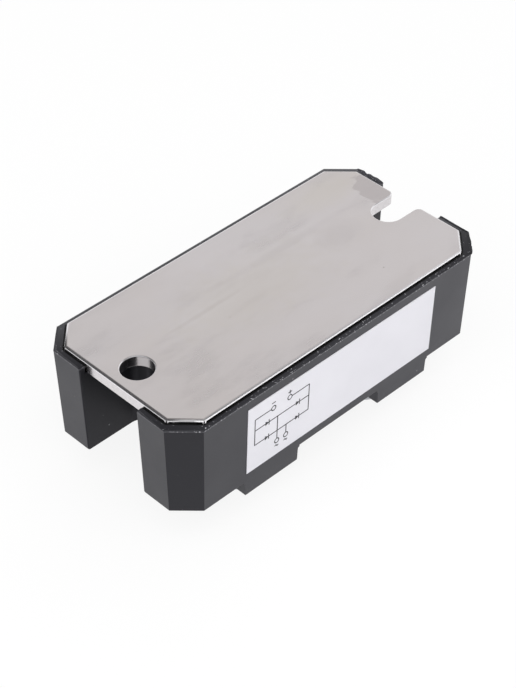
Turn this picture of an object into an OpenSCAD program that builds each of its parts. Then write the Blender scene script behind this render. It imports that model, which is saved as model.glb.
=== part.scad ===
// Single-phase bridge rectifier module with screw terminals.
//
// Every piece is drawn with the module the right way up: the mounting face of the base
// plate lies at z = 0 and the terminals point up. laid() then turns the whole module over,
// so that it lies on the heads of its terminal screws with the mounting face on top. The
// origin is then in the middle underneath, +X points at the open slot and -Y at the label.

/* [Housing] */
// Length of the housing at its rim
body_l = 81.6; // [81:0.2:88]
// Width of the housing at its rim
body_w = 40; // [39.5:0.5:46]
// Leg of the cut across each upright corner of the housing
body_cut = 5; // [4.6:0.1:6]
// Height of the end sections above the mounting face
end_h = 21.85; // [20:0.05:26]
// Rise of the two terminal blocks above the end sections
block_rise = 3.6; // [3:0.2:6]
// Length of a terminal block at its foot
block_l = 13.9; // [13.3:0.1:14.3]
// Distance from the end of a screw bay to the terminal block next to it
block_gap = 0.7; // [0.6:0.05:1.2]
// Slope of the moulded outer faces, in degrees
draft = 2; // [0.5:0.25:2.5]
// Radius along the edges on the terminal side
edge_r = 0.6; // [0.4:0.1:1]
// Radius in the corner where a terminal block rises
cove_r = 0.4; // [0.2:0.1:0.6]
// Thickness of the housing's roof
roof_t = 2.4; // [1.8:0.1:3]
// Thickness of the rim outside the base plate, at the two ends
rim_end = 1.25; // [0.8:0.05:1.6]
// Thickness of the rim outside the base plate, along the two sides
rim_side = 0.95; // [0.8:0.05:1.3]
// Width of the ledge that the base plate is glued to
ledge_w = 1.3; // [1:0.1:1.8]

/* [Screw bays] */
// Width of the open bay round each mounting screw
bay_w = 15.5; // [14:0.1:15.7]
// Distance from a mounting screw's centre to the inner end of its bay
bay_deep = 7.75; // [7.2:0.05:8]
// Radius in the two inner corners of a bay
bay_r = 3.4; // [1.5:0.1:6]
// Thickness of the wall round a bay
bay_wall = 2.2; // [1.6:0.1:2.6]

/* [Base plate] */
// Thickness of the base plate
plate_t = 2.4; // [2:0.1:3]
// Height that the base plate stands proud of the rim
plate_proud = 0.7; // [0.3:0.05:1]
// Gap between the base plate and the rim
plate_gap = 0.35; // [0.1:0.05:0.5]
// Leg of the cut across each corner of the base plate
plate_cut = 4.8; // [4.4:0.05:5.5]
// Radius of the base plate's corners
plate_corner_r = 0.8; // [0.4:0.1:2]
// Radius that stamping rolls onto the edges of the mounting face
plate_roll = 0.35; // [0.1:0.05:0.5]
// Distance of the mounting hole's and the slot's centre from the end of the base plate
hole_inset = 5.7; // [5.2:0.1:6.4]
// Diameter of the mounting hole and width of the mounting slot
hole_d = 6.5; // [5:0.1:7]
// Radius of the two corners at the slot's mouth
mouth_r = 1.6; // [0.5:0.1:2]

/* [Terminals] */
// Distance of a terminal screw from the module's centre line
screw_y = 9.3; // [9:0.1:10]
// Thickness of the terminal straps
strap_t = 1.2; // [0.8:0.1:1.3]
// Width of a terminal's tab
tab_w = 10; // [9:0.1:10.4]
// Reach of a tab beyond its screw
tab_reach = 5.3; // [5:0.1:6]
// Radius of a tab's two outer corners
tab_corner_r = 1.5; // [0.5:0.1:2.5]
// Height that a tab stands proud of its block
tab_proud = 0.2; // [0.1:0.05:0.4]
// Width of a terminal's leg and foot
leg_w = 7; // [6:0.1:7.1]
// Distance of the legs from the module's centre line
leg_y = 2.6; // [2.4:0.1:2.8]
// Inner radius of the bends in a strap
bend_r = 0.8; // [0.4:0.1:1]
// Length of a terminal's soldered foot
foot_l = 6; // [4.5:0.5:6.5]
// Width of the groove between the two terminals of a block
groove_w = 2.4; // [1.6:0.1:2.6]
// Depth of that groove
groove_deep = 3; // [1:0.25:3.25]
// Play round a strap in its slot and seat
strap_play = 0.15; // [0.1:0.05:0.25]

/* [Screws and nuts] */
// Thread diameter of the terminal screws
screw_d = 5; // [4:0.5:5]
// Length of the terminal screws under the head
screw_l = 12; // [10:0.5:12]
// Diameter of the screw heads
head_d = 9.5; // [8:0.1:9.8]
// Height of the screw heads
head_h = 3.7; // [3:0.1:4]
// Width of the wings of the cross recess
recess_w = 1.1; // [0.8:0.1:1.4]
// Span of the cross recess at the top of the head
recess_d = 5; // [4:0.1:5.5]
// Depth of the cross recess
recess_deep = 2.2; // [1.5:0.1:2.4]
// Outer diameter of the flat washers
washer_d = 10; // [9.6:0.1:11]
// Thickness of the flat washers
washer_t = 1; // [0.6:0.1:1.2]
// Side of the lock washers' square section
lock_s = 1.3; // [1:0.1:1.5]
// Width of the cut in a lock washer
lock_cut = 0.8; // [0.4:0.1:1.2]
// Width across the flats of the nuts
nut_af = 8; // [7.4:0.1:8.1]
// Thickness of the nuts
nut_h = 4; // [3:0.1:4.2]
// Play round a nut in its pocket
nut_play = 0.15; // [0.1:0.05:0.2]
// Wall round a nut's pocket inside the housing
boss_wall = 1.6; // [1.2:0.1:1.8]
// Floor under the tip of a screw
boss_floor = 1.5; // [1:0.1:2]

/* [Inside] */
// Thickness of the glue between base plate and ledge
seal_t = 0.15; // [0.1:0.05:0.3]
// Room between an insulating tile and the wall of the screw bay
tile_room = 0.65; // [0.5:0.05:0.8]
// Width of an insulating tile
tile_w = 30; // [29:0.5:31]
// Thickness of an insulating tile
tile_t = 0.8; // [0.5:0.1:1.2]
// Gap between the two tiles
tile_gap = 1; // [0.6:0.1:1.2]
// Bare margin of tile round its copper pad
pad_margin = 0.8; // [0.6:0.1:1]
// Thickness of a copper pad
pad_t = 1; // [0.5:0.1:1.4]
// Side of a diode chip
chip_s = 8.5; // [7:0.5:8.5]
// Thickness of a diode chip
chip_t = 0.5; // [0.4:0.05:0.8]
// Distance of the chips from the middle of the module, along its length
chip_x = 6; // [5.8:0.1:6.2]
// Distance of the chips' middles from the long edge of their tile
chip_in = 7; // [6:0.1:7.5]
// Diameter of a link's contact cup
cup_d = 6; // [4:0.5:6.5]
// Height of a link's contact cups
cup_h = 1.7; // [1:0.1:2.5]
// Width of the copper links
link_w = 6.5; // [5.5:0.5:6.5]
// Thickness of the copper links
link_t = 1; // [0.6:0.1:1.4]
// Least gap between a link and another conductor
link_gap = 1.4; // [1.2:0.1:1.6]
// Depth of the silicone gel over the base plate
gel_deep = 9.5; // [8:0.5:10]

/* [Label] */
// Length of the label
label_l = 50.4; // [30:0.2:56]
// Height of the label
label_w = 16.3; // [8:0.1:16.5]
// Thickness of the label
label_t = 0.12; // [0.08:0.02:0.2]
// Distance of the label's middle from the module's middle, towards the slot
label_x = 0.3; // [-2:0.1:2]
// Distance of the label's middle from the mounting face
label_z = 11.15; // [10.5:0.05:11.2]

/* [Hidden] */
$fn = 96;

past = 1;            // how far a cut runs past the face that it opens
arc_steps = 6;       // straight pieces in a small rounded corner
tip_play = 0.3;      // play round a screw in its blind hole
tap_play = 0.02;     // play that stands for the thread between screw and nut
hole_play = 0.3;     // play round a screw in washers and tabs

block_h = end_h + block_rise;
plate_l = body_l - 2 * (rim_end + plate_gap);
plate_w = body_w - 2 * (rim_side + plate_gap);
hole_x = plate_l / 2 - hole_inset;
bay_x = hole_x - bay_deep;                    // inner end of a bay
block_x = bay_x - block_gap - block_l / 2;
ledge_z = plate_t + seal_t;
roof_z = end_h - roof_t;

tab_z = block_h + tab_proud;                  // upper face of the tabs
seat_z = tab_z - strap_t;                     // seat of the tabs, and top of the nuts
head_z = tab_z + washer_t + lock_s;           // seat of the screw heads
top_z = head_z + head_h;
tip_z = head_z - screw_l;
boss_z = tip_z - tip_play - boss_floor;
pocket_z = seat_z - nut_h;
slot_z = boss_z - past;                       // where the slots for the straps begin
bend_y = leg_y + strap_t + bend_r;            // centre of the bends in a strap
tab_y = screw_y + tab_reach;

pad_z = plate_t + tile_t;
chip_z = pad_z + pad_t;
cup_z = chip_z + chip_t;
link_z = cup_z + cup_h;
landing_z = link_z + link_t;
tile_l = bay_x - bay_wall - tile_room - tile_gap / 2;
tile_x = (tile_gap + tile_l) / 2;
chip_y = tile_w / 2 - chip_in;
link_in = chip_y - link_w / 2;                // edge of a link next to the centre line
link_out = chip_y + link_w / 2;
link_x = chip_x + link_w / 2;                 // end of a link beyond a chip's middle
turn_x = block_x - leg_w / 2 - link_gap;      // where the plus link stops short of a leg
landing_x = block_x + leg_w / 2;              // far end of the landings for the feet

// The four terminals: which way along the length, which side of the centre line
AC_1 = [-1, 1];
AC_2 = [1, 1];
PLUS = [1, -1];
MINUS = [-1, -1];
CORNERS = [AC_1, AC_2, PLUS, MINUS];

PLASTIC = "#2b2b2d";
NICKEL = "#bdbab8";
COPPER = "#b87348";
STEEL = "#a9adb2";

// Points of an arc of radius r round m, from angle a to angle b
function arc(m, r, a, b, n = arc_steps) =
    [for (i = [0:n]) m + r * [cos(a + (b - a) * i / n), sin(a + (b - a) * i / n)]];

// The same points mirrored and in reverse, so that they close a symmetrical outline
function mirrored(points) = [for (i = [len(points) - 1:-1:0]) [-points[i][0], points[i][1]]];

// Half width at height z of a face that slopes in from half width w at height z_foot
function drawn_in(w, z, z_foot, slope = draft) = w - (z - z_foot) * tan(slope);

// Round corner of radius r at height top, on a face that slopes in from w at z_foot
function shoulder(w, z_foot, top, r = edge_r, slope = draft) = arc(
    [drawn_in(w, top - r, z_foot, slope) - r / cos(slope), top - r], r, slope, 90
);

// Turns the upright module over onto its screw heads
module laid() {
    translate([0, 0, top_z]) rotate([180, 0, 0]) children();
}

// Extrudes an outline drawn in the YZ plane along X, to both sides of the middle
module along_x(l) {
    rotate([90, 0, 90]) linear_extrude(l, center = true) children();
}

// Extrudes an outline drawn in the XZ plane along Y, to both sides of the middle
module along_y(l) {
    rotate([90, 0, 0]) linear_extrude(l, center = true) children();
}

// Places its children at one of the four terminals, turned so that +Y points outwards
module at_corner(c) {
    translate([c[0] * block_x, 0, 0]) rotate([0, 0, c[1] > 0 ? 0 : 180]) children();
}

// Oblong with a cut of leg c across each corner, every corner rounded to radius r
module oblong(l, w, c, r = 0) {
    inner_cut = c - r * (2 - sqrt(2));
    corner = [[l / 2 - r, w / 2 - r - inner_cut], [l / 2 - r - inner_cut, w / 2 - r]];
    right = concat(arc(corner[0], r, 0, 45), arc(corner[1], r, 45, 90));
    upper = concat(right, mirrored(right));
    polygon(concat(upper, [for (p = upper) -p]));
}

// Endless moulded bar: sloping sides that round over into a flat top
module bar_section(w, z_foot, top, r = edge_r, slope = draft) {
    right = concat([[w, z_foot]], shoulder(w, z_foot, top, r, slope));
    polygon(concat(right, mirrored(right)));
}

// Block with cut corners whose eight sides round over into a flat top
module cut_block(l, w, c, z_foot, top, r, slope) {
    reach = l + w;
    cut_w = (reach - 2 * c) / sqrt(8);
    intersection() {
        along_x(reach) bar_section(w / 2, z_foot, top, r, slope);
        along_y(reach) bar_section(l / 2, z_foot, top, r, slope);
        rotate([0, 0, 45]) along_x(reach) bar_section(cut_w, z_foot, top, r, slope);
        rotate([0, 0, -45]) along_x(reach) bar_section(cut_w, z_foot, top, r, slope);
    }
}

// Both terminal blocks: they grow out of the roof with a hollow fillet at their foot
module terminal_blocks() {
    half = block_l / 2;
    fillet = arc([half + cove_r, end_h + cove_r], cove_r, 270, 180);
    right = concat([[half + cove_r, roof_z]], fillet, shoulder(half, end_h + cove_r, block_h));
    intersection() {
        along_x(body_l) bar_section(body_w / 2, plate_proud, block_h);
        along_y(body_w)
            for (side = [-1, 1])
                translate([side * block_x, 0]) polygon(concat(right, mirrored(right)));
    }
}

// Plan of the two screw bays, grown by g
module bay_plan(g = 0) {
    half = bay_w / 2 + g;
    r = bay_r + g;
    for (turn = [0, 180])
        rotate(turn) translate([bay_x - g, 0]) {
            for (side = [-1, 1]) translate([r, side * (half - r)]) circle(r = r);
            translate([0, r - half]) square([r, 2 * (half - r)]);
            translate([r, -half]) square([body_l / 2 + past - bay_x + g - r, 2 * half]);
        }
}

// Plan of the space inside the housing, between the walls of the bays
module cavity_plan() {
    in = 2 * (ledge_w - plate_gap);
    difference() {
        oblong(plate_l - in, plate_w - in, plate_cut - in * (1 - sqrt(2) / 2));
        bay_plan(bay_wall);
    }
}

// Outline, in the YZ plane, of a strap that stands with its foot at height z
module strap_section(z) {
    low = [bend_y, z + strap_t + bend_r];
    high = [bend_y, seat_z - bend_r];
    polygon(concat(
        [[leg_y + foot_l, z]],
        arc(low, bend_r + strap_t, 270, 180),
        arc(high, bend_r + strap_t, 180, 90),
        arc(high, bend_r, 90, 180),
        arc(low, bend_r, 180, 270),
        [[leg_y + foot_l, z + strap_t]]
    ));
}

// Outline, in the YZ plane, of the slot that a strap's leg passes up through
module slot_section() {
    polygon(concat(
        [[leg_y - strap_play, slot_z], [leg_y - strap_play, block_h + past]],
        [[bend_y, block_h + past]],
        arc([bend_y, seat_z - bend_r], bend_r - strap_play, 90, 180),
        [[leg_y + strap_t + strap_play, slot_z]]
    ));
}

// Plan of a terminal's tab, grown by g
module tab_plan(g = 0) {
    w = tab_w / 2 + g;
    r = tab_corner_r + g;
    polygon(concat(
        [[w, bend_y]],
        arc([w - r, tab_y + g - r], r, 0, 90),
        arc([r - w, tab_y + g - r], r, 90, 180),
        [[-w, bend_y]]
    ));
}

// Hexagonal prism with flats that face +Y and -Y
module hexagon(across_flats, h) {
    cylinder(d = across_flats / cos(30), h = h, $fn = 6);
}

// Everything that one terminal needs cut out of its block
module terminal_pocket() {
    along_x(leg_w + 2 * strap_play) slot_section();
    translate([0, 0, seat_z]) linear_extrude(block_h - seat_z + past) tab_plan(strap_play);
    translate([0, screw_y, pocket_z]) hexagon(nut_af + 2 * nut_play, nut_h + past);
    translate([0, screw_y, tip_z - tip_play])
        cylinder(d = screw_d + 2 * tip_play, h = nut_h + pocket_z - tip_z);
}

// Plan of what the open slot takes out of the base plate, its mouth rounded outwards
module slot_plan() {
    flare = arc([plate_l / 2 - mouth_r, hole_d / 2 + mouth_r], mouth_r, 270, 360);
    upper = concat(flare, [[plate_l / 2 + past, hole_d / 2 + mouth_r]]);
    lower = [for (i = [len(upper) - 1:-1:0]) [upper[i][0], -upper[i][1]]];
    translate([hole_x, 0]) circle(d = hole_d);
    polygon(concat([[hole_x, hole_d / 2]], upper, lower, [[hole_x, -hole_d / 2]]));
}

module base_plate() {
    color(NICKEL)
        laid()
        difference() {
            intersection() {
                translate([0, 0, plate_t])
                    mirror([0, 0, 1])
                    cut_block(plate_l, plate_w, plate_cut, 0, plate_t, plate_roll, 0);
                linear_extrude(plate_t) oblong(plate_l, plate_w, plate_cut, plate_corner_r);
            }
            translate([-hole_x, 0, -past]) cylinder(d = hole_d, h = plate_t + 2 * past);
            translate([0, 0, -past]) linear_extrude(plate_t + 2 * past) slot_plan();
        }
}

module housing() {
    color(PLASTIC)
        laid()
        difference() {
            union() {
                cut_block(body_l, body_w, body_cut, plate_proud, end_h, edge_r, draft);
                terminal_blocks();
            }
            difference() {
                housing_space();
                for (c = CORNERS)
                    at_corner(c)
                        translate([0, screw_y, boss_z])
                        cylinder(d = nut_af / cos(30) + 2 * (nut_play + boss_wall), h = end_h - boss_z);
            }
            linear_extrude(block_h + past) bay_plan();
            for (c = CORNERS) at_corner(c) terminal_pocket();
            translate([0, 0, block_h - groove_deep / 2 + past / 2])
                cube([body_l, groove_w, groove_deep + past], center = true);
        }
}

// The recess for the base plate and the space above it, as one solid to cut away
module housing_space() {
    room = 2 * plate_gap;
    linear_extrude(ledge_z)
        oblong(plate_l + room, plate_w + room, plate_cut + plate_gap * (2 - sqrt(2)));
    linear_extrude(roof_z) cavity_plan();
}

module label() {
    color("whitesmoke")
        laid()
        translate([label_x, drawn_in(body_w / 2, label_z, plate_proud), label_z])
        rotate([draft, 0, 0])
        translate([0, label_t / 2, 0])
        cube([label_l, label_t, label_w], center = true);
}

module case_seal() {
    color("gray")
        laid()
        translate([0, 0, plate_t])
        linear_extrude(seal_t)
        difference() {
            oblong(plate_l, plate_w, plate_cut, plate_corner_r);
            cavity_plan();
            bay_plan();
        }
}

// Soft filling that covers all live parts up to gel_deep over the base plate
module silicone_gel() {
    color("lightsteelblue")
        difference() {
            laid() translate([0, 0, plate_t]) linear_extrude(gel_deep) cavity_plan();
            for (side = [-1, 1]) {
                ceramic(side);
                ac_pad(side);
                diode(side, 1);
                diode(side, -1);
            }
            plus_link();
            minus_link();
            terminal(AC_1, chip_z);
            terminal(AC_2, chip_z);
            terminal(PLUS, landing_z);
            terminal(MINUS, landing_z);
        }
}

// Insulating tile that the copper pad of one AC terminal is bonded to
module ceramic(side) {
    color("white")
        laid()
        translate([side * tile_x, 0, plate_t + tile_t / 2])
        cube([tile_l, tile_w, tile_t], center = true);
}

module ac_pad(side) {
    color(COPPER)
        laid()
        translate([side * tile_x, 0, pad_z + pad_t / 2])
        cube([tile_l - 2 * pad_margin, tile_w - 2 * pad_margin, pad_t], center = true);
}

// Bare diode chip, soldered to its pad
module diode(side_x, side_y) {
    color("dimgray")
        laid()
        translate([side_x * chip_x, side_y * chip_y, chip_z + chip_t / 2])
        cube([chip_s, chip_s, chip_t], center = true);
}

// Contact cups of a link, which reach down to the two chips on one side of the centre line
module cups(side_y) {
    for (side_x = [-1, 1])
        translate([side_x * chip_x, side_y * chip_y, cup_z]) cylinder(d = cup_d, h = cup_h);
}

// Copper strap over the chips next to the AC legs. It turns across the module between
// the chips and the leg of the second AC terminal, and ends under the plus terminal.
module plus_link() {
    far_y = link_gap - link_in;
    step_x = link_x + link_gap;
    color(COPPER)
        laid() {
            cups(1);
            translate([0, 0, link_z])
                linear_extrude(link_t)
                polygon([
                    [-link_x, link_in], [turn_x - link_w, link_in], [turn_x - link_w, far_y],
                    [step_x, far_y], [step_x, -leg_y - foot_l], [landing_x, -leg_y - foot_l],
                    [landing_x, leg_y - link_gap], [turn_x, leg_y - link_gap],
                    [turn_x, link_out], [-link_x, link_out]
                ]);
        }
}

// Straight copper strap over the other two chips, which ends under the minus terminal
module minus_link() {
    color(COPPER)
        laid() {
            cups(-1);
            translate([-landing_x, -link_out, link_z])
                cube([landing_x + link_x, link_w, link_t]);
            translate([-landing_x, -leg_y - foot_l, link_z])
                cube([leg_w, foot_l, link_t]);
        }
}

// Bent strap: a foot at height z, a leg up through the housing, and a tab over the nut
module terminal(c, z) {
    color(NICKEL)
        laid()
        at_corner(c)
        difference() {
            union() {
                along_x(leg_w) strap_section(z);
                translate([0, 0, seat_z]) linear_extrude(strap_t) tab_plan();
            }
            translate([0, screw_y, seat_z - past])
                cylinder(d = screw_d + 2 * hole_play, h = strap_t + 2 * past);
        }
}

module terminal_nuts() {
    chamfer = nut_af / 16;
    color(STEEL)
        laid()
        for (c = CORNERS)
            at_corner(c)
                translate([0, screw_y, pocket_z])
                difference() {
                    intersection() {
                        hexagon(nut_af, nut_h);
                        rotate_extrude()
                            polygon([
                                [0, 0], [nut_af / 2, 0], [nut_af / 2 + 2 * chamfer, chamfer],
                                [nut_af / 2 + 2 * chamfer, nut_h - chamfer], [nut_af / 2, nut_h],
                                [0, nut_h]
                            ]);
                    }
                    translate([0, 0, -past])
                        cylinder(d = screw_d + 2 * tap_play, h = nut_h + 2 * past);
                }
}

module flat_washers() {
    color(STEEL)
        laid()
        for (c = CORNERS)
            at_corner(c)
                translate([0, screw_y, tab_z])
                difference() {
                    cylinder(d = washer_d, h = washer_t);
                    translate([0, 0, -past])
                        cylinder(d = screw_d + 2 * hole_play, h = washer_t + 2 * past);
                }
}

// Split spring washers, flattened by the screws, with a slanted cut
module lock_washers() {
    bore = screw_d + 2 * hole_play;
    color(STEEL)
        laid()
        for (c = CORNERS)
            at_corner(c)
                translate([0, screw_y, tab_z + washer_t])
                difference() {
                    cylinder(d = bore + 2 * lock_s, h = lock_s);
                    translate([0, 0, -past]) cylinder(d = bore, h = lock_s + 2 * past);
                    translate([bore / 2 + lock_s / 2, 0, lock_s / 2])
                        rotate([30, 0, 0])
                        cube([2 * lock_s, lock_cut, 4 * lock_s], center = true);
                }
}

module terminal_screws() {
    color(STEEL)
        laid()
        for (c = CORNERS)
            at_corner(c)
                translate([0, screw_y, 0])
                difference() {
                    union() {
                        translate([0, 0, tip_z]) cylinder(d = screw_d, h = screw_l + head_h / 2);
                        translate([0, 0, head_z]) screw_head();
                    }
                    translate([0, 0, top_z - recess_deep]) cross_recess();
                }
}

// Pan head: a straight rim that rounds over into a nearly flat top
module screw_head() {
    round_r = head_h * 0.45;
    rotate_extrude()
        polygon(concat(
            [[0, 0], [head_d / 2, 0]],
            arc([head_d / 2 - round_r, head_h - round_r], round_r, 0, 90),
            [[0, head_h]]
        ));
}

// Tapered cross that a driver fits
module cross_recess() {
    intersection() {
        cylinder(d1 = recess_w, d2 = 2 * recess_d - recess_w, h = 2 * recess_deep);
        for (turn = [0, 90])
            rotate([0, 0, turn])
                translate([0, 0, recess_deep]) cube([recess_d, recess_w, 2 * recess_deep], center = true);
    }
}

base_plate();
housing();
label();
case_seal();
silicone_gel();
ceramic(-1);  // ceramic_1
ceramic(1);  // ceramic_2
ac_pad(-1);  // ac_pad_1
ac_pad(1);  // ac_pad_2
diode(-1, 1);  // diode_1
diode(1, 1);  // diode_2
diode(1, -1);  // diode_3
diode(-1, -1);  // diode_4
plus_link();
minus_link();
terminal(AC_1, chip_z);  // ac_terminal_1
terminal(AC_2, chip_z);  // ac_terminal_2
terminal(PLUS, landing_z);  // plus_terminal
terminal(MINUS, landing_z);  // minus_terminal
terminal_nuts();
terminal_screws();
lock_washers();
flat_washers();
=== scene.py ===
import logging
import math
import random
from dataclasses import dataclass
from enum import Enum
from typing import Callable, Sequence

import bmesh
import bpy
from mathutils import Matrix, Vector, noise


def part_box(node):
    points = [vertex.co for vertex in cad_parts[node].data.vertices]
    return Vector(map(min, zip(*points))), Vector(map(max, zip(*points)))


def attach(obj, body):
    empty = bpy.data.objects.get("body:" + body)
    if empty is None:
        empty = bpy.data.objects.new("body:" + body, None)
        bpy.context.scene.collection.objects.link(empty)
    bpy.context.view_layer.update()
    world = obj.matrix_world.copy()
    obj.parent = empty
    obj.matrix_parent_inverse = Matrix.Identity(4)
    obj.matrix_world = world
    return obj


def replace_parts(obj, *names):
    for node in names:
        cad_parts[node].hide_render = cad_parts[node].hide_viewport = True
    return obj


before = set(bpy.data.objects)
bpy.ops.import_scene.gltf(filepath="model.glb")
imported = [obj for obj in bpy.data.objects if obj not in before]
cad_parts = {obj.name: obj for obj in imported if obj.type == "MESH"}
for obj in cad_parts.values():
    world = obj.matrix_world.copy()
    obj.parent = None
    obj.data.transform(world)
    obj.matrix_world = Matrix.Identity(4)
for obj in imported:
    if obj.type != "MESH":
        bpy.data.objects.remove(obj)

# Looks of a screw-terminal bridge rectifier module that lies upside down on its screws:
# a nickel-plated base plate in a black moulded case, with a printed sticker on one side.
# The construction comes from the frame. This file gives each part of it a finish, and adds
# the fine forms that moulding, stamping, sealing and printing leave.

BODY = "root"
MM = 0.001
WELD = 0.002 * MM           # distance within which doubled points are joined
SAME = 0.005 * MM           # how far apart two heights still count as one
NEAR = 0.05 * MM            # how far off an outline a place still counts as on it
HALF_BAY = 0.3875           # half width of a screw bay, as a share of the case's half width
BAY_END = 0.631             # where a bay ends inside, as a share of the case's half length
WHITE = (1.0, 1.0, 1.0, 1.0)
log = logging.getLogger("rectifier")
Point = tuple[float, float, float]
Span = tuple[float, float]
Colour = tuple[float, float, float, float]
Socket = bpy.types.NodeSocket


def srgb(r: float, g: float, b: float) -> Colour:
    """Turns display values from 0 to 255 into a linear colour.

    Args:
        r: Red.
        g: Green.
        b: Blue.

    Returns:
        The linear colour, with an alpha of 1.
    """
    def linear(v: float) -> float:
        """Linear value of one display value."""
        v /= 255
        return v / 12.92 if v <= 0.04045 else ((v + 0.055) / 1.055) ** 2.4
    return (linear(r), linear(g), linear(b), 1.0)


# ---------------------------------------------------------------------------
# Finishes
# ---------------------------------------------------------------------------

class NodeWork:
    """Short calls for the nodes of one tree, a material's or the world's."""

    def __init__(self, tree: bpy.types.NodeTree) -> None:
        """Takes the tree that the nodes go into."""
        self.nodes, self.links = tree.nodes, tree.links

    def feed(self, socket: Socket, value: object) -> None:
        """Links an input to a socket, or sets it to a plain value.

        Args:
            socket: The input.
            value: The socket or the plain value.
        """
        if isinstance(value, Socket):
            self.links.new(value, socket)
        else:
            socket.default_value = value

    def maths(self, kind: str, a: object, b: object = 0.0) -> Socket:
        """One step of arithmetic.

        Args:
            kind: The operation.
            a: First number or socket.
            b: Second number or socket.

        Returns:
            The result.
        """
        node = self.nodes.new("ShaderNodeMath")
        node.operation = kind
        self.feed(node.inputs[0], a)
        self.feed(node.inputs[1], b)
        return node.outputs["Value"]

    def product(self, first: object, *others: object) -> Socket:
        """Multiplies sockets and numbers.

        Args:
            first: The first factor.
            others: The other factors.

        Returns:
            The product.
        """
        for other in others:
            first = self.maths("MULTIPLY", first, other)
        return first

    def range(self, value: Socket, low: float, high: float,
              out_low: float = 0.0, out_high: float = 1.0) -> Socket:
        """Maps a value from one range to another, clamped.

        Args:
            value: The value.
            low: Start of its range.
            high: End of its range.
            out_low: What the start becomes.
            out_high: What the end becomes.

        Returns:
            The mapped value.
        """
        node = self.nodes.new("ShaderNodeMapRange")
        for name, number in (("From Min", low), ("From Max", high),
                             ("To Min", out_low), ("To Max", out_high)):
            node.inputs[name].default_value = number
        self.links.new(value, node.inputs["Value"])
        return node.outputs["Result"]

    def part(self, vector: Socket, axis: str) -> Socket:
        """One of the three parts of a vector.

        Args:
            vector: The vector.
            axis: Which part.

        Returns:
            That part.
        """
        node = self.nodes.new("ShaderNodeSeparateXYZ")
        self.links.new(vector, node.inputs["Vector"])
        return node.outputs[axis]

    def show(self, factor: Socket, under: Socket, over: Socket, output: str) -> None:
        """Mixes two shaders and makes the result the tree's surface.

        Args:
            factor: How much of the upper shader shows.
            under: Shader underneath.
            over: Shader on top.
            output: Name of the tree's output node.
        """
        mix = self.nodes.new("ShaderNodeMixShader")
        for socket, value in zip(mix.inputs, (factor, under, over)):
            self.links.new(value, socket)
        self.links.new(mix.outputs["Shader"], self.nodes[output].inputs["Surface"])


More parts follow.
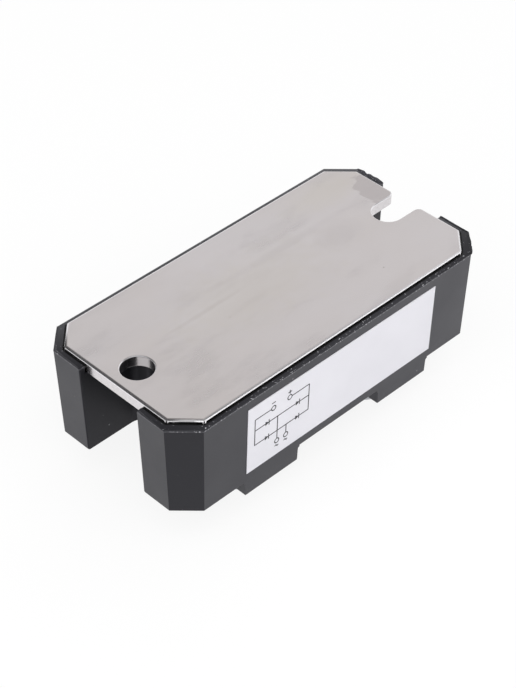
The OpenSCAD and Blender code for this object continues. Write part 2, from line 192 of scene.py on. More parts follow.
class Shader(NodeWork):
    """A material under construction, with one Principled shader."""

    def __init__(self, name: str, rough: float, metal: float = 0.0, specular: float = 0.5) -> None:
        """Starts the material.

        Args:
            name: Name of the material.
            rough: Plain roughness, used where nothing drives it.
            metal: How metallic the surface is.
            specular: Level of the plain gloss.
        """
        self.material = bpy.data.materials.new(name)
        self.material.use_nodes = True
        super().__init__(self.material.node_tree)
        self.shader = self.nodes["Principled BSDF"]
        self.shader.inputs["Roughness"].default_value = rough
        self.shader.inputs["Metallic"].default_value = metal
        self.shader.inputs["Specular IOR Level"].default_value = specular
        places = self.nodes.new("ShaderNodeTexCoord")
        self.coords, self.normal = places.outputs["Object"], places.outputs["Normal"]

    def mapped(self, scale: Point) -> Socket:
        """Object coordinates, scaled to repeats a metre.

        Args:
            scale: Repeats a metre along each axis.

        Returns:
            The scaled coordinates.
        """
        node = self.nodes.new("ShaderNodeMapping")
        node.inputs["Scale"].default_value = scale
        self.links.new(self.coords, node.inputs["Vector"])
        return node.outputs["Vector"]

    def noise(self, scale: Point, detail: float = 2.0, rough: float = 0.5) -> Socket:
        """Cloudy pattern from 0 to 1.

        Args:
            scale: Its repeats a metre along each axis.
            detail: How many finer layers it has.
            rough: How strong they are.

        Returns:
            The pattern.
        """
        node = self.nodes.new("ShaderNodeTexNoise")
        node.inputs["Scale"].default_value = 1.0
        node.inputs["Detail"].default_value = detail
        node.inputs["Roughness"].default_value = rough
        self.links.new(self.mapped(scale), node.inputs["Vector"])
        return node.outputs["Fac"]

    def dots(self, scale: float, size: Span, rare: Socket) -> Socket:
        """Small round dots, thinned out by a pattern.

        Args:
            scale: Dots a metre.
            size: Where a dot begins to fade and where it ends.
            rare: The pattern, 0 where no dot shows.

        Returns:
            A value that is 1 on the dots.
        """
        node = self.nodes.new("ShaderNodeTexVoronoi")
        node.inputs["Scale"].default_value = 1.0
        self.links.new(self.mapped((scale,) * 3), node.inputs["Vector"])
        return self.product(self.range(node.outputs["Distance"], *size, 1, 0), rare)

    def place(self, axis: str) -> Socket:
        """Place along one axis of the shared frame, in metres."""
        return self.part(self.coords, axis)

    def level(self) -> Socket:
        """How level a face lies: 1 where it is flat, 0 where it stands upright."""
        return self.maths("ABSOLUTE", self.part(self.normal, "Z"))

    def slant(self) -> Socket:
        """How squarely a face looks across a corner of the module: 1 on the corner cuts."""
        across = self.product(self.part(self.normal, "X"), self.part(self.normal, "Y"), 2.0)
        return self.maths("ABSOLUTE", across)

    def blot(self, centre: Point, reach: Point, ragged: float, soft: float = 0.1) -> Socket:
        """One patch with a ragged edge.

        Args:
            centre: Its middle, in millimetres.
            reach: Its half sizes along the axes, in millimetres.
            ragged: How far its edge wanders, as a share of its size.
            soft: How far its edge fades, as a share of its size.

        Returns:
            A value that is 1 inside the patch and 0 outside it.
        """
        node = self.nodes.new("ShaderNodeMapping")
        node.inputs["Location"].default_value = tuple(-c / r for c, r in zip(centre, reach))
        node.inputs["Scale"].default_value = tuple(1 / (r * MM) for r in reach)
        self.links.new(self.coords, node.inputs["Vector"])
        away = self.nodes.new("ShaderNodeVectorMath")
        away.operation = "LENGTH"
        self.links.new(node.outputs["Vector"], away.inputs[0])
        detail = 5.0 if soft < 0.1 else 2.0
        wander = self.product(self.noise((420, 420, 420), detail, 0.6), 2 * ragged)
        reached = self.maths("ADD", away.outputs["Value"], wander)
        return self.range(reached, 1.0 + ragged - soft, 1.0 + ragged + soft, 1, 0)

    def blend(self, factor: Socket, under: object, over: object) -> Socket:
        """Mixes two colours by a factor.

        Args:
            factor: How much of the upper colour shows.
            under: Colour or socket underneath.
            over: Colour or socket on top.

        Returns:
            The mixed colour.
        """
        node = self.nodes.new("ShaderNodeMix")
        node.data_type = "RGBA"
        self.links.new(factor, node.inputs["Factor"])
        for slot_name, value in (("A", under), ("B", over)):
            self.feed(next(s for s in node.inputs if s.name == slot_name and s.type == "RGBA"),
                      value)
        return next(s for s in node.outputs if s.type == "RGBA")

    def drive(self, name: str, socket: Socket) -> None:
        """Lets a socket drive one of the shader's inputs."""
        self.links.new(socket, self.shader.inputs[name])

    def bump(self, heights: Sequence[tuple[Socket, float, float]]) -> None:
        """Chains bumps into the shader's normal.

        Args:
            heights: For each bump its height socket, strength, and depth in millimetres.
        """
        last = None
        for height, strength, depth in heights:
            node = self.nodes.new("ShaderNodeBump")
            node.inputs["Strength"].default_value = strength
            node.inputs["Distance"].default_value = depth * MM
            self.links.new(height, node.inputs["Height"])
            if last is not None:
                self.links.new(last, node.inputs["Normal"])
            last = node.outputs["Normal"]
        self.drive("Normal", last)


@dataclass(frozen=True)
class Patch:
    """A stain on the plate, with its places and sizes in millimetres."""

    centre: Point
    reach: Point
    ragged: float
    soft: float
    depth: float
    colour: Colour


@dataclass(frozen=True)
class NickelPlate:
    """Nickel plating on rolled copper: satin, faintly clouded, with a few pin marks."""

    tone: Colour = srgb(206, 201, 202)
    warm: Colour = srgb(203, 197, 196)
    dull: Colour = srgb(188, 183, 184)
    pin: Colour = srgb(120, 116, 112)
    wall: Colour = srgb(222, 219, 221)
    # Painted highlight on the rolled edges
    painted_edge_highlight: Colour = srgb(238, 236, 239)
    # Painted shade on the hole's wall
    painted_hole_shade: Colour = srgb(180, 176, 177)
    # Painted shade on the plate's walls beside the groove
    painted_groove_shade: Colour = srgb(92, 91, 92)
    # Share of metal that the label side's rolled edge loses, so that its painted highlight shows
    # matt
    matt_highlight: float = 0.95
    rough: float = 0.24
    # Middle and reach of the painted shade on the hole's wall, in millimetres
    hole: Point = (-33.5, 0.0, 30.4)
    hole_reach: Point = (3.6, 3.6, 9.0)
    # Fades along Y and X, past which the label side, the front cut and the near end begin; they
    # bound the painted groove shade and the matt painted highlight
    label_side: Span = (-14.8 * MM, -14.4 * MM)
    front_cut: Span = (-15.6 * MM, -15.2 * MM)
    near_end: Span = (-35.8 * MM, -35.2 * MM)
    stains: tuple[Patch, ...] = (
        Patch((-4.0, 2.0, 31.6), (17.0, 8.0, 9.0), 0.8, 0.5, 0.35, srgb(201, 195, 188)),
        Patch((29.0, 13.5, 31.6), (9.0, 3.6, 9.0), 0.6, 0.5, 0.4, srgb(203, 197, 189)),
        Patch((37.7, 6.8, 31.6), (4.3, 5.6, 9.0), 0.7, 0.06, 0.85, srgb(186, 180, 180)),
        Patch((10.0, 6.5, 31.6), (13.0, 0.9, 9.0), 0.5, 0.5, 0.22, srgb(188, 183, 184)),
        Patch((21.0, 2.0, 31.6), (5.0, 3.0, 9.0), 0.5, 0.5, 0.25, srgb(188, 183, 184)),
        Patch((-14.0, 3.0, 31.6), (8.0, 0.5, 9.0), 0.5, 0.4, 0.18, srgb(180, 174, 170)))

    def build(self) -> bpy.types.Material:
        """Makes the material.

        Returns:
            The finished material.
        """
        s = Shader("satin nickel", self.rough, metal=1.0)
        clouds = s.noise((24, 38, 60), 3.0, 0.55)
        spots = s.noise((60, 150, 120), 4.0, 0.6)
        specks = s.dots(290, (0.03, 0.055), s.range(s.noise((430, 430, 430), 0.0), 0.66, 0.70))
        base = self._face(s, clouds, spots)
        base = s.blend(s.product(specks, 0.5), base, self.pin)
        s.drive("Base Color", self._edges(s, base))
        grain = s.noise((400, 3200, 3200), 2.0, 0.6)
        s.drive("Roughness", s.range(spots, 0.3, 0.8, self.rough - 0.03, self.rough + 0.06))
        s.bump([(grain, 0.03, 0.02), (clouds, 0.05, 0.12), (specks, -0.25, 0.03)])
        return s.material

    def _face(self, s: Shader, clouds: Socket, spots: Socket) -> Socket:
        """Colour of the mounting face.

        Args:
            s: The material.
            clouds: Its broad pattern.
            spots: Its finer pattern.

        Returns:
            The clouded colour with its stains.
        """
        base = s.blend(s.range(clouds, 0.40, 0.66), self.tone, self.warm)
        base = s.blend(s.range(spots, 0.54, 0.80, 0, 0.5), base, self.dull)
        for stain in self.stains:
            patch = s.blot(stain.centre, stain.reach, stain.ragged, stain.soft)
            base = s.blend(s.product(patch, stain.depth), base, stain.colour)
        return base

    def _edges(self, s: Shader, base: Socket) -> Socket:
        """Colour with the plate's walls, the painted highlight on its rolled edges and the painted
        shade on its hole's wall and beside its groove, which also drive how metallic it is.

        Args:
            s: The material.
            base: Colour of the mounting face.

        Returns:
            The whole plate's colour.
        """
        level = s.level()
        near_end = s.range(s.place("X"), *self.near_end, 1, 0)
        by_label = s.product(s.range(s.place("Y"), *self.label_side, 1, 0),
                             s.range(s.place("X"), *self.near_end))
        sheared = s.range(s.noise((1500, 1500, 2600), 3.0, 0.6), 0.36, 0.62, 0, 0.4)
        base = s.blend(s.range(level, 0.90, 0.97, 1, 0), base, s.blend(sheared, self.wall, base))
        # Painted highlight: the steep part of every rolled edge is lightened to stand in for the
        # bright line that it reflects.
        rolled = s.product(s.range(level, 0.04, 0.14), s.range(level, 0.92, 0.98, 1, 0))
        base = s.blend(rolled, base, self.painted_edge_highlight)
        # Painted shade: the hole's wall is darkened to stand in for the shadow that it reflects
        # from under the module.
        hole_shade_mask = s.product(s.blot(self.hole, self.hole_reach, 0.0, 0.02),
                            s.range(level, 0.3, 0.6, 1, 0))
        base = s.blend(hole_shade_mask, base, self.painted_hole_shade)
        # Painted shade: the plate's walls on the label side and at the front cut are darkened to
        # stand in for the shade in the groove beside them.
        base = s.blend(s.product(by_label, s.range(level, 0.08, 0.2, 0.9, 0)), base, self.painted_groove_shade)
        front = s.product(near_end, s.range(s.place("Y"), *self.front_cut, 1, 0),
                          s.range(level, 0.3, 0.5, 0.45, 0))
        base = s.blend(front, base, self.painted_groove_shade)
        # Painted highlight: the label side's rolled edge turns matt so that its lightened colour
        # shows as a bright line.
        matt_highlight = s.product(s.range(level, 0.1, 0.25), s.range(level, 0.7, 0.9, self.matt_highlight, 0),
                           by_label)
        s.drive("Metallic", s.maths("SUBTRACT", 1.0, matt_highlight))
        return base


@dataclass(frozen=True)
class MouldedPlastic:
    """Black thermoset: matt, very finely pitted, slightly chalky where it was trimmed."""

    tone: Colour = srgb(17, 17, 20)
    dust: Colour = srgb(150, 150, 152)
    chalk: Colour = srgb(66, 66, 70)
    nick: Colour = srgb(170, 170, 174)
    tint: Colour = (0.90, 0.89, 1.0, 1.0)
    cloud_gain: float = 1.28
    rough: float = 0.38
    specular: float = 0.56
    crease: float = 0.3 * MM
    gritty_side: Span = (-19.2 * MM, -18.6 * MM)
    grit: float = 0.05
    # Painted sheen along X, and the shares of it that the corner cuts and the bays keep as painted
    # shade
    painted_sheen: Span = (0.66, 0.86)
    painted_sheen_run: Span = (-30 * MM, 40 * MM)
    cut_shade_share: float = 0.53
    bay_shade_share: float = 0.5
    # Painted shade: what the rim loses of the gloss along X on the label side, and where that side
    # begins along Y
    rim_shade: Span = (0.15, 0.6)
    shade_run: Span = (10 * MM, 39 * MM)
    shade_side: Span = (-14 * MM, -10 * MM)

    def build(self) -> bpy.types.Material:
        """Makes the material.

        Returns:
            The finished material.
        """
        s = Shader("black moulded plastic", self.rough, specular=self.specular)
        s.shader.inputs["Specular Tint"].default_value = self.tint
        clouds = s.noise((60, 60, 60), 3.0, 0.55)
        light = tuple(self.cloud_gain * c for c in self.tone[:3]) + (1.0,)
        base = s.blend(s.range(clouds, 0.35, 0.7), self.tone, light)
        rare = s.range(s.noise((700, 700, 700), 0.0), 0.62, 0.70)
        base = s.blend(s.product(s.dots(420, (0.04, 0.09), rare), 0.5), base, self.dust)
        s.drive("Base Color", self._trimmed(s, base))
        s.drive("Roughness", s.range(clouds, 0.3, 0.7, self.rough - 0.05, self.rough + 0.08))
        s.drive("Specular IOR Level", self._painted_sheen(s))
        skin = s.noise((5200, 5200, 5200), 3.0, 0.6)
        waves = s.noise((320, 320, 320), 2.0, 0.5)
        s.bump([(skin, 0.22, 0.03), (waves, 0.1, 0.05)])
        return s.material

    def _trimmed(self, s: Shader, base: Socket) -> Socket:
        """Colour with the chalky crease and the nicks along the rim.

        Args:
            s: The material.
            base: Colour of the skin.

        Returns:
            The whole case's colour.
        """
        rim = highs("housing").z - self.crease
        at_rim = s.range(s.place("Z"), rim - 0.15 * MM, rim - 0.05 * MM)
        at_crease = s.product(at_rim, s.range(s.level(), 0.88, 0.97, 1, 0))
        base = s.blend(s.product(at_crease, 0.8), base, self.chalk)
        gritty = s.range(s.place("Y"), *self.gritty_side, self.grit, 0)
        chips = s.maths("ADD", s.noise((2300, 2300, 1500), 2.0, 0.6), gritty)
        for size, where in (((0.69, 0.73), at_rim), ((0.59, 0.65), at_crease)):
            base = s.blend(s.product(s.range(chips, *size, 0, 0.9), where), base, self.nick)
        return base

    def _painted_sheen(self, s: Shader) -> Socket:
        """Gloss level as painted light: a painted sheen that rises along X, with painted shade on
        the corner cuts, in the bays and on the label side's rim.

        Args:
            s: The material.

        Returns:
            The gloss level.
        """
        half_bay = highs("housing").y * HALF_BAY
        # Painted sheen: the gloss rises along X to stand in for the light growing brighter that
        # way.
        along = s.range(s.place("X"), *self.painted_sheen_run, *self.painted_sheen)
        # Painted shade: the corner cuts and the bays keep less of the gloss.
        cut_shade = s.range(s.slant(), 0.8, 0.95, 1, self.cut_shade_share)
        beside = s.maths("ABSOLUTE", s.place("Y"))
        bay_shade = s.range(beside, half_bay + 0.05 * MM, half_bay + 0.3 * MM, self.bay_shade_share, 1)
        # Painted shade: the rim on the label side loses gloss towards +X.
        shade = s.product(s.range(s.place("X"), *self.shade_run, *self.rim_shade),
                          s.range(s.place("Y"), *self.shade_side, 1, 0),
                          s.range(s.level(), 0.85, 0.95))
        return s.product(along, cut_shade, s.maths("SUBTRACT", 1.0, shade), bay_shade)


@dataclass(frozen=True)
class PlainFinish:
    """A simple surface with cloudy colour and a fine grain."""

    name: str
    tone: Colour
    other: Colour
    rough: float
    metal: float = 0.0
    cloud: float = 90.0
    grain: float = 2500.0
    grain_depth: float = 0.02
    specular: float = 0.5
    clear: float = 0.0
    bending: float = 1.41

    def build(self) -> bpy.types.Material:
        """Makes the material.

        Returns:
            The finished material.
        """
        s = Shader(self.name, self.rough, self.metal, self.specular)
        clouds = s.noise((self.cloud,) * 3, 3.0, 0.6)
        s.drive("Base Color", s.blend(s.range(clouds, 0.35, 0.65), self.tone, self.other))
        s.drive("Roughness", s.range(clouds, 0.3, 0.7, self.rough * 0.9, self.rough * 1.12))
        s.bump([(s.noise((self.grain,) * 3, 2.0, 0.6), 0.3, self.grain_depth)])
        if self.clear:
            s.shader.inputs["Transmission Weight"].default_value = self.clear
            s.shader.inputs["IOR"].default_value = self.bending
        return s.material


class Finish(Enum):
    """Every finish on the module, by the piece it belongs to."""

    NICKEL = NickelPlate()
    CASE = MouldedPlastic()
    STICKER = PlainFinish("coated paper", srgb(216, 215, 221), srgb(212, 211, 217), 0.42,
                          cloud=55.0, grain=3800.0, grain_depth=0.006)
    PRINT = PlainFinish("printing ink", srgb(34, 34, 38), srgb(46, 46, 50), 0.55,
                        cloud=1500.0, grain=6000.0, grain_depth=0.004)
    SEALANT = PlainFinish("black sealant", srgb(14, 14, 15), srgb(19, 19, 20), 0.4,
                          cloud=300.0, grain=500.0, grain_depth=0.06, specular=0.22)
    STRAP = PlainFinish("bright nickel", srgb(205, 202, 198), srgb(196, 192, 186), 0.24,
                        metal=1.0, cloud=140.0, grain=3000.0, grain_depth=0.006)
    ZINC = PlainFinish("zinc plated steel", srgb(196, 198, 202), srgb(182, 184, 190), 0.3,
                       metal=1.0, cloud=240.0, grain=2200.0, grain_depth=0.01)
    COPPER = PlainFinish("rolled copper", srgb(206, 132, 98), srgb(184, 112, 82), 0.36,
                         metal=1.0, cloud=160.0, grain=2600.0, grain_depth=0.008)
    CERAMIC = PlainFinish("alumina", srgb(236, 234, 228), srgb(228, 226, 220), 0.62,
                          cloud=130.0, grain=4200.0, grain_depth=0.01)
    SILICON = PlainFinish("coated chip", srgb(72, 72, 80), srgb(60, 60, 68), 0.3,
                          cloud=420.0, grain=1800.0, grain_depth=0.006)
    GEL = PlainFinish("silicone gel", srgb(206, 214, 216), srgb(198, 208, 211), 0.18,
                      cloud=60.0, grain=260.0, grain_depth=0.05, clear=0.6)

    def material(self) -> bpy.types.Material:
        """Makes the finish's material, once.

        Returns:
            The material.
        """
        if self not in _MADE:
            _MADE[self] = self.value.build()
        return _MADE[self]


_MADE: dict[Finish, bpy.types.Material] = {}


# ---------------------------------------------------------------------------
# Mesh helpers
# ---------------------------------------------------------------------------

def lows(node: str) -> Vector:
    """Lowest corner of a construction part, in metres."""
    return Vector(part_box(node)[0])


def highs(node: str) -> Vector:
    """Highest corner of a construction part, in metres."""
    return Vector(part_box(node)[1])


def dress(node: str, finish: Finish) -> None:
    """Gives a construction part its finish.

    Args:
        node: Name of the part.
        finish: The finish it gets.
    """
    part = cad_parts[node]
    part.data.materials.clear()
    part.data.materials.append(finish.material())
    log.info("dressed %s in %s", node, finish.name.lower())


def shade_evenly(made: bpy.types.Object) -> None:
    """Lets the large flat faces set the shading, so that rounded edges blend out of them.

    Args:
        made: The piece.
    """
    even = made.modifiers.new("even shading", "WEIGHTED_NORMAL")
    even.weight = 100
    even.keep_sharp = True


def piece(name: str, bm: bmesh.types.BMesh, finish: Finish,
          smooth: float = 35.0) -> bpy.types.Object:
    """Turns a finished mesh into a piece that rides on the module.

    Args:
        name: Name of the piece.
        bm: The mesh, which is freed.
        finish: Its finish.
        smooth: Angle, in degrees, under which edges are shaded smooth.

    Returns:
        The new object.
    """
    bmesh.ops.recalc_face_normals(bm, faces=bm.faces)
    for face in bm.faces:
        face.smooth = True
    for edge in bm.edges:
        sharp = len(edge.link_faces) != 2 or edge.calc_face_angle(0) > math.radians(smooth)
        edge.smooth = not sharp
    mesh = bpy.data.meshes.new(name)
    bm.to_mesh(mesh)
    bm.free()
    mesh.materials.append(finish.material())
    made = bpy.data.objects.new(name, mesh)
    bpy.context.scene.collection.objects.link(made)
    shade_evenly(made)
    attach(made, BODY)
    log.info("made %s with %d faces", name, len(mesh.polygons))
    return made


def merged_copy(node: str, flat: float = 0.4) -> bmesh.types.BMesh:
    """A copy of a construction part's mesh with its triangles joined into flat faces.

    Args:
        node: Name of the part.
        flat: Angle, in degrees, under which neighbours become one face.

    Returns:
        The mesh, which the caller frees.
    """
    bm = bmesh.new()
    bm.from_mesh(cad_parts[node].data)
    bmesh.ops.remove_doubles(bm, verts=bm.verts, dist=WELD)
    bmesh.ops.dissolve_limit(bm, angle_limit=math.radians(flat), use_dissolve_boundaries=False,
                             verts=bm.verts, edges=bm.edges, delimit=set())
    return bm


def soften(bm: bmesh.types.BMesh, width: float, segments: int,
           chosen: Callable[[bmesh.types.BMEdge, Vector], bool], clamp: bool = True,
           sharp: float = 50.0) -> None:
    """Rounds the sharp outer edges that a test picks out.

    Args:
        bm: The mesh.
        width: How far each rounding reaches from its edge, in metres.
        segments: Faces across each rounding.
        chosen: Says from an edge and its middle whether it is rounded.
        clamp: Whether short edges hold the rounding back.
        sharp: Angle, in degrees, past which an edge is sharp.
    """
    edges = [e for e in bm.edges
             if len(e.link_faces) == 2 and e.calc_face_angle_signed(0) > math.radians(sharp)
             and chosen(e, (e.verts[0].co + e.verts[1].co) / 2)]
    bmesh.ops.bevel(bm, geom=edges, offset=width, offset_type="OFFSET", segments=segments,
                    profile=0.5, affect="EDGES", clamp_overlap=clamp, material=-1)


class Outline:
    """A run of straight stretches at one level that can be walked by distance."""

    def __init__(self, corners: Sequence[Span], level: float) -> None:
        """Takes the corners in walking order.

        Args:
            corners: X and Y of each corner, in metres.
            level: Height of the run, in metres.
        """
        self.corners = [Vector((x, y, level)) for x, y in corners]
        self.steps = [(b - a).length for a, b in zip(self.corners, self.corners[1:])]
        self.length = sum(self.steps)

    def at(self, share: float) -> tuple[Vector, Vector]:
        """Point at a share of the length, and the level direction to its left.

        Args:
            share: From 0 at the first corner to 1 at the last.

        Returns:
            The point and the direction.
        """
        left = min(max(share, 0.0), 1.0) * self.length
        last = len(self.steps) - 1
        for i, step in enumerate(self.steps):
            if left <= step or i == last:
                ahead = (self.corners[i + 1] - self.corners[i]).normalized()
                return self.corners[i] + ahead * left, Vector((-ahead.y, ahead.x, 0.0))
            left -= step
        raise ValueError("an outline needs two corners")


def sweep(run: Outline, rows: int, corners: int,
          section: Callable[[float, float], Span]) -> bmesh.types.BMesh:
    """A closed bar that follows an outline with a changing section.

    Args:
        run: The outline.
        rows: Faces along the bar.
        corners: Corners of its section.
        section: Turns the share of the length and the share of the way round the section
            into an offset outwards and upwards, in metres.

    Returns:
        The mesh.
    """
    bm = bmesh.new()
    bmesh.ops.create_grid(bm, x_segments=rows, y_segments=corners, size=0.5)
    for vert in bm.verts:
        along, turn = vert.co.x + 0.5, vert.co.y + 0.5
        point, outwards = run.at(along)
        out, up = section(along, turn % 1.0 if turn > 0.999 else turn)
        vert.co = point + outwards * out + Vector((0.0, 0.0, up))
    bmesh.ops.remove_doubles(bm, verts=bm.verts, dist=WELD / 4)
    bmesh.ops.holes_fill(bm, edges=bm.edges)
    return bm


# ---------------------------------------------------------------------------
# The module's sub-assemblies
# ---------------------------------------------------------------------------

@dataclass
class BasePlate:
    """The nickel-plated base plate, with the edges that stamping and plating round off."""

    # Rounding of the hole's and slot's mouths, and of the back
    mouth_roll: float = 0.26 * MM
    back_roll: float = 0.1 * MM
    # Leg of the corner cuts and roll of the outer edge, both as constructed
    cut: float = 4.8 * MM
    rim_roll: float = 0.35 * MM
    # How far wear widens that roll, and the rounds in which its corner points settle
    worn_reach: float = 0.7 * MM
    worn_depth: float = 0.42 * MM
    settling: int = 12

    def build(self) -> None:
        """Replaces the plain plate by one with softly rounded edges."""
        dress("base_plate", Finish.NICKEL)
        bm = merged_copy("base_plate")
        face, back = highs("base_plate").z, lows("base_plate").z
        self._wear(bm)
        soften(bm, self.mouth_roll, 4, lambda edge, middle: self._level(edge, face), clamp=False)
        soften(bm, self.back_roll, 2, lambda edge, middle: self._level(edge, back))
        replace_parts(piece("nickel_base_plate", bm, Finish.NICKEL), "base_plate")

    def _wear(self, bm: bmesh.types.BMesh) -> None:
        """Widens the roll round the mounting face to the soft edge that tumbling leaves.

        Args:
            bm: The plate's mesh.
        """
        high, grow = highs("base_plate"), self.worn_reach / self.rim_roll
        slope = (high.x + high.y - self.cut) / math.sqrt(2)
        for vert in bm.verts:
            depth = high.z - vert.co.z
            if depth > self.rim_roll + SAME:
                continue
            vert.co.z = high.z - depth * self.worn_depth / self.rim_roll
            across, along = math.copysign(1, vert.co.x), math.copysign(1, vert.co.y)
            sides = [(Vector((across, 0, 0)), high.x), (Vector((0, along, 0)), high.y),
                     (Vector((across, along, 0)).normalized(), slope)]
            goals = [(side, reach - (reach - side.dot(vert.co)) * grow) for side, reach in sides
                     if reach - side.dot(vert.co) < self.rim_roll + SAME]
            for _ in range(self.settling):
                for side, goal in goals:
                    vert.co += side * (goal - side.dot(vert.co))

    def _level(self, edge: bmesh.types.BMEdge, height: float) -> bool:
        """Whether an edge lies flat at a height."""
        return all(abs(v.co.z - height) < SAME for v in edge.verts)


@dataclass
class Case:
    """The moulded case, its black sealant, and the flash that its mould left on the rim."""

    # Leg of the corner cuts, and gap between rim and plate
    cut: float = 5.0 * MM
    gap: float = 0.35 * MM
    # Rounding of the edges, and how far the rim falls to its outer edge
    bay_edge: float = 0.3 * MM
    rim_edge: float = 0.12 * MM
    block_edge: float = 0.25 * MM
    crown: float = 0.22 * MM
    # The sealant: depth of its foot, how far it lies below the rim, its climb and its waves
    seal_depth: float = 0.35 * MM
    seal_sink: float = 0.22 * MM
    seal_climb: float = 0.07 * MM
    seal_wobble: float = 0.09 * MM
    seal_waves: float = 60.0
    seal_rows: int = 360
    # The flash: depth across the rim, sunk foot, length of a row, and its ripple
    fin: float = 0.7 * MM
    fin_foot: float = 0.06 * MM
    fin_row: float = 0.25 * MM
    fin_ragged: float = 0.25
    fin_ripple: float = 1.3 / MM
    seed: int = 11

    def __post_init__(self) -> None:
        """Reads the sizes that the construction gives."""
        self.high = highs("housing")
        self.plate_high = highs("base_plate")
        self.end_face = lows("label").z
        self.half_bay = self.high.y * HALF_BAY
        self.bay_end = self.high.x * BAY_END
        self.dice = random.Random(self.seed)

    def build(self) -> None:
        """Builds the case and what clings to it."""
        dress("housing", Finish.CASE)
        dress("case_seal", Finish.SEALANT)
        self._shell()
        for side in (-1, 1):
            self._sealant(side)
        self._flash()

    def _shell(self) -> None:
        """Replaces the plain housing by one with its sharp edges eased."""
        bm = merged_copy("housing")
        under = lows("base_plate").z
        self._lean_rim(bm)
        soften(bm, self.block_edge, 2, self._on_block)
        soften(bm, self.bay_edge, 3, lambda edge, middle: self._by_bay(middle, under))
        soften(bm, self.rim_edge, 2, lambda edge, middle: self._on_rim(edge))
        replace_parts(piece("moulded_case", bm, Finish.CASE), "housing")

    def _by_bay(self, middle: Vector, under: float) -> bool:
        """Whether an edge with this middle borders a screw bay below the plate."""
        along_bay = abs(middle.x) > self.bay_end and abs(middle.y) < self.half_bay + NEAR
        return along_bay and middle.z < under - 0.5 * MM

    def _on_rim(self, edge: bmesh.types.BMEdge) -> bool:
        """Whether an edge lies on the rim's face."""
        return all(v.co.z > self.high.z - self.crown - SAME for v in edge.verts)

    def _on_block(self, edge: bmesh.types.BMEdge, middle: Vector) -> bool:
        """Whether an edge is an upright outer corner of a terminal block."""
        upright = abs(edge.verts[0].co.z - edge.verts[1].co.z) > 0.9 * edge.calc_length()
        return upright and middle.z < self.end_face and abs(middle.y) > 0.9 * self.high.y

    def _outside(self, place: Vector) -> bool:
        """Whether a place lies on the rim's outer outline."""
        x, y = self.high.x - abs(place.x), self.high.y - abs(place.y)
        return min(x, y, x + y - self.cut) < NEAR

    def _lean_rim(self, bm: bmesh.types.BMesh) -> None:
        """Lets the rim's face fall off towards its outer edge.

        Args:
            bm: The case's mesh.
        """
        rim = [v for v in bm.verts if v.co.z > self.high.z - SAME]
        outer = [v for v in rim if self._outside(v.co)]
        inner = [v for v in rim if not self._outside(v.co)]
        for vert in outer:
            near = min(inner, key=lambda v: (v.co - vert.co).length)
            if not any(near in edge.verts for edge in vert.link_edges):
                bmesh.ops.connect_verts(bm, verts=[vert, near])
        for vert in outer:
            vert.co.z -= self.crown

    def _run(self, side: int, x: float, y: float, cut: float, level: float) -> Outline:
        """The rim's outline on one side, from bay to bay.

        Args:
            side: 1 for the +Y side, -1 for the -Y side.
            x: Half length of the outline.
            y: Half width of the outline.
            cut: Leg of its corner cuts.
            level: Its height.

        Returns:
            The outline, from one bay to the other.
        """
        corners = [(-x, self.half_bay), (-x, y - cut), (-x + cut, y),
                   (x - cut, y), (x, y - cut), (x, self.half_bay)]
        if side < 0:
            corners = [(cx, -cy) for cx, cy in reversed(corners)]
        return Outline(corners, level)

    def _sealant(self, side: int) -> None:
        """Lays the bead of black sealant between rim and plate along one side.

        Args:
            side: 1 for the +Y side, -1 for the -Y side.
        """
        x, y = self.plate_high.x + self.gap / 2, self.plate_high.y + self.gap / 2
        run = self._run(side, x, y, self.cut - self.gap / 2, self.high.z - self.seal_sink)

        def section(along: float, turn: float) -> Span:
            """Section of the bead: first its surface, then its foot.

            Args:
                along: Share of the length.
                turn: Share of the way round.

            Returns:
                Offset outwards and upwards, in metres.
            """
            if turn > 0.5:
                return (3.0 - 4.0 * turn) * self.gap, -self.seal_depth
            wobble = noise.noise(Vector((along * self.seal_waves, side * 3.0, turn * 3.0)))
            climb = self.seal_climb * (4.0 * turn - 1.0) ** 2 + self.seal_wobble * wobble
            return (2.0 * turn - 0.5) * self.gap, climb

        bm = sweep(run, self.seal_rows, 8, section)
        piece("sealant_bead_" + ("left" if side > 0 else "right"), bm, Finish.SEALANT,
              smooth=60)

    def _flash(self) -> None:
        """Adds the thin ragged fins of flash at the outer edge of the rim."""
        x, y, cut, bay = self.high.x, self.high.y, self.cut, self.half_bay
        self._fin("near_left", [(-x, bay + 0.4 * MM), (-x, y - cut)],
                  [(0, 0.05, 0), (0.2, 0.12, 0.02), (0.45, 0.14, 0), (0.8, 0.24, 0.02),
                   (1, 0.26, 0.04)])
        self._fin("left_cut", [(-x, y - cut), (cut - x, y)],
                  [(0, 0.26, 0.04), (0.3, 0.1, 0.05), (0.7, 0.08, 0.05), (1, 0.04, 0)])
        self._fin("near_right", [(-x, cut - y), (-x, -bay - 0.4 * MM)],
                  [(0, 0.02, 0), (0.5, 0.07, 0.01), (0.85, 0.14, 0.02), (1, 0.3, 0)])
        self._fin("far_left", [(x, y - cut), (x, bay + 0.1 * MM)],
                  [(0, 0.1, 0), (0.1, 0.28, 0.02), (0.26, 0.44, 0.08), (0.31, 0.3, 0.02),
                   (0.36, 0.1, -0.05), (0.41, 0.34, 0.04), (0.48, 0.5, 0.12), (0.62, 0.38, 0.04),
                   (0.76, 0.48, 0.12), (0.93, 0.36, 0.08), (1, 0.2, 0)])
        self._fin("far_right", [(x, -bay), (x, cut - y), (x - cut, -y)],
                  [(0, 0.19, 0), (0.08, 0.22, 0.02), (0.2, 0.16, 0.02), (0.45, 0.14, 0.03),
                   (0.6, 0.16, 0.1), (0.72, 0.14, 0.28), (0.9, 0.12, 0.34), (0.98, 0.1, 0.3),
                   (1, 0, 0.05)])
        self._fin("label_side", [(x - cut, -y), (cut - x, -y)],
                  [(0, 0.05, 0.02), (0.3, 0.05, 0), (0.6, 0.09, 0.02), (1, 0.06, 0)])
